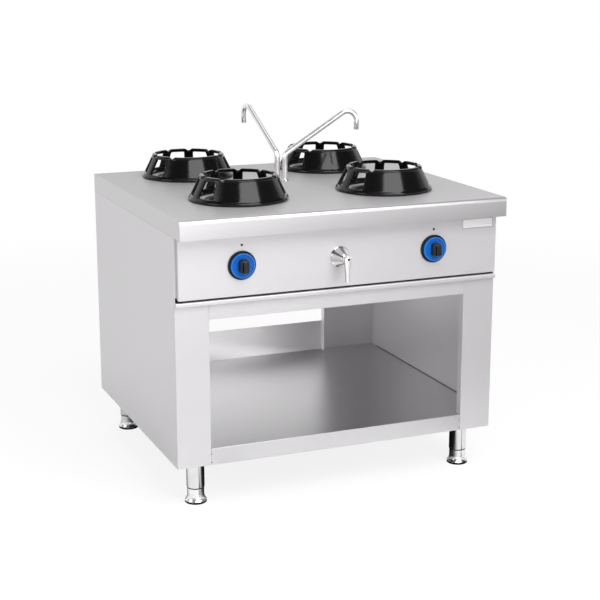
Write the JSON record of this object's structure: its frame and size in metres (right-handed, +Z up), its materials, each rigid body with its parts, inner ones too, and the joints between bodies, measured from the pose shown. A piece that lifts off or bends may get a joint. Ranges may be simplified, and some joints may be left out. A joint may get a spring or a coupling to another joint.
{
  "type": "wok range",
  "caption": "Free-standing gas wok range: steel worktop with cast wok rings, control panel with knobs and water tap, swivel spouts, open cabinet with shelf, adjustable feet.",
  "frame": {"origin": "centre of the overall bounding box, at the level of the feet's undersides", "axes": "+X to the right across the front, +Y from the front to the rear, +Z up"},
  "size_m": [1, 0.934, 1.072],
  "materials": {
    "brushed_steel": "brushed, fine grain along the sheet",
    "plate_steel": "satin, blank",
    "inner_steel": "mill finish",
    "polished_steel": "polished tube",
    "black_enamel": "glossy black enamel on cast iron",
    "bowl_enamel": "black enamel on pressed steel",
    "burner_iron": "dull, heat-darkened",
    "valve_brass": "turned",
    "pipe_copper": "drawn copper tube, dull",
    "bezel_plastic": "satin moulded",
    "dial_blue": "satin moulded blue",
    "grip_plastic": "satin moulded",
    "chrome": "bright",
    "spout_chrome": "bright drawn tube"
  },
  "bodies": {
    "cabinet": {"worktop": "brushed_steel", "side_panel_left": "brushed_steel", "side_panel_right": "brushed_steel", "base_shelf": "brushed_steel", "front_top_rail": "brushed_steel", "rear_top_rail": "brushed_steel", "trim_rail": "brushed_steel", "control_panel": "brushed_steel", "rear_panel": "brushed_steel", "blank_plate": "plate_steel", "burner_box_floor": "inner_steel", "burner_bar_front": "inner_steel", "burner_bar_rear": "inner_steel", "leg_tube_front_left": "polished_steel", "leg_tube_front_right": "polished_steel", "leg_tube_rear_left": "polished_steel", "leg_tube_rear_right": "polished_steel", "burner_bowl_front_left": "bowl_enamel", "burner_body_front_left": "burner_iron", "burner_cap_front_left": "burner_iron", "burner_bowl_front_right": "bowl_enamel", "burner_body_front_right": "burner_iron", "burner_cap_front_right": "burner_iron", "burner_bowl_rear_left": "bowl_enamel", "burner_body_rear_left": "burner_iron", "burner_cap_rear_left": "burner_iron", "burner_bowl_rear_right": "bowl_enamel", "burner_body_rear_right": "burner_iron", "burner_cap_rear_right": "burner_iron", "gas_valve_left": "valve_brass", "knob_bezel_left": "bezel_plastic", "gas_valve_right": "valve_brass", "knob_bezel_right": "bezel_plastic", "gas_manifold": "inner_steel", "feed_pipe_front_left": "pipe_copper", "feed_pipe_front_right": "pipe_copper", "feed_pipe_rear_left": "pipe_copper", "feed_pipe_rear_right": "pipe_copper", "tap_rosette": "chrome", "tap_valve": "valve_brass", "water_supply_pipe": "pipe_copper", "water_feed_pipe": "pipe_copper", "spout_base": "chrome"},
    "foot_front_left": {"foot_front_left": "polished_steel"},
    "ring_front_left": {"wok_ring_front_left": "black_enamel"},
    "foot_front_right": {"foot_front_right": "polished_steel"},
    "ring_front_right": {"wok_ring_front_right": "black_enamel"},
    "foot_rear_left": {"foot_rear_left": "polished_steel"},
    "ring_rear_left": {"wok_ring_rear_left": "black_enamel"},
    "foot_rear_right": {"foot_rear_right": "polished_steel"},
    "ring_rear_right": {"wok_ring_rear_right": "black_enamel"},
    "spindle_left": {"valve_spindle_left": "valve_brass"},
    "knob_left": {"knob_dial_left": "dial_blue", "knob_grip_left": "grip_plastic"},
    "spindle_right": {"valve_spindle_right": "valve_brass"},
    "knob_right": {"knob_dial_right": "dial_blue", "knob_grip_right": "grip_plastic"},
    "tap_lever": {"tap_lever": "chrome"},
    "spout_front": {"spout_front": "spout_chrome"},
    "spout_rear": {"spout_rear": "spout_chrome"}
  },
  "joints": [
    {"name": "foot_front_left_screw", "type": "slide", "parent": "cabinet", "child": "foot_front_left", "axis": [0, 0, 1], "range_m": [-0.04, 0]},
    {"name": "foot_front_right_screw", "type": "slide", "parent": "cabinet", "child": "foot_front_right", "axis": [0, 0, 1], "range_m": [-0.04, 0]},
    {"name": "foot_rear_left_screw", "type": "slide", "parent": "cabinet", "child": "foot_rear_left", "axis": [0, 0, 1], "range_m": [-0.04, 0]},
    {"name": "foot_rear_right_screw", "type": "slide", "parent": "cabinet", "child": "foot_rear_right", "axis": [0, 0, 1], "range_m": [-0.04, 0]},
    {"name": "ring_front_left_lift", "type": "slide", "parent": "cabinet", "child": "ring_front_left", "axis": [0, 0, 1], "range_m": [0, 0.06]},
    {"name": "ring_front_right_lift", "type": "slide", "parent": "cabinet", "child": "ring_front_right", "axis": [0, 0, 1], "range_m": [0, 0.06]},
    {"name": "ring_rear_left_lift", "type": "slide", "parent": "cabinet", "child": "ring_rear_left", "axis": [0, 0, 1], "range_m": [0, 0.06]},
    {"name": "ring_rear_right_lift", "type": "slide", "parent": "cabinet", "child": "ring_rear_right", "axis": [0, 0, 1], "range_m": [0, 0.06]},
    {"name": "knob_left_turn", "type": "hinge", "parent": "cabinet", "child": "spindle_left", "pos_m": [-0.309, -0.405, 0.706], "axis": [0, -1, 0], "range_deg": [0, 210]},
    {"name": "knob_left_push", "type": "slide", "parent": "spindle_left", "child": "knob_left", "axis": [0, 1, 0], "range_m": [0, 0.004], "stiffness_N_per_m": 900, "springref_m": -0.002},
    {"name": "knob_right_turn", "type": "hinge", "parent": "cabinet", "child": "spindle_right", "pos_m": [0.285, -0.405, 0.706], "axis": [0, -1, 0], "range_deg": [0, 210]},
    {"name": "knob_right_push", "type": "slide", "parent": "spindle_right", "child": "knob_right", "axis": [0, 1, 0], "range_m": [0, 0.004], "stiffness_N_per_m": 900, "springref_m": -0.002},
    {"name": "tap_lever_turn", "type": "hinge", "parent": "cabinet", "child": "tap_lever", "pos_m": [-0.012, -0.405, 0.706], "axis": [0, -1, 0], "range_deg": [0, 90]},
    {"name": "spout_front_swivel", "type": "hinge", "parent": "cabinet", "child": "spout_front", "pos_m": [0.014, 0.08, 0.85], "axis": [0, 0, 1], "range_deg": [-78, 57]},
    {"name": "spout_rear_swivel", "type": "hinge", "parent": "cabinet", "child": "spout_rear", "pos_m": [0, 0.107, 0.85], "axis": [0, 0, 1], "range_deg": [-7, 128]}
  ]
}
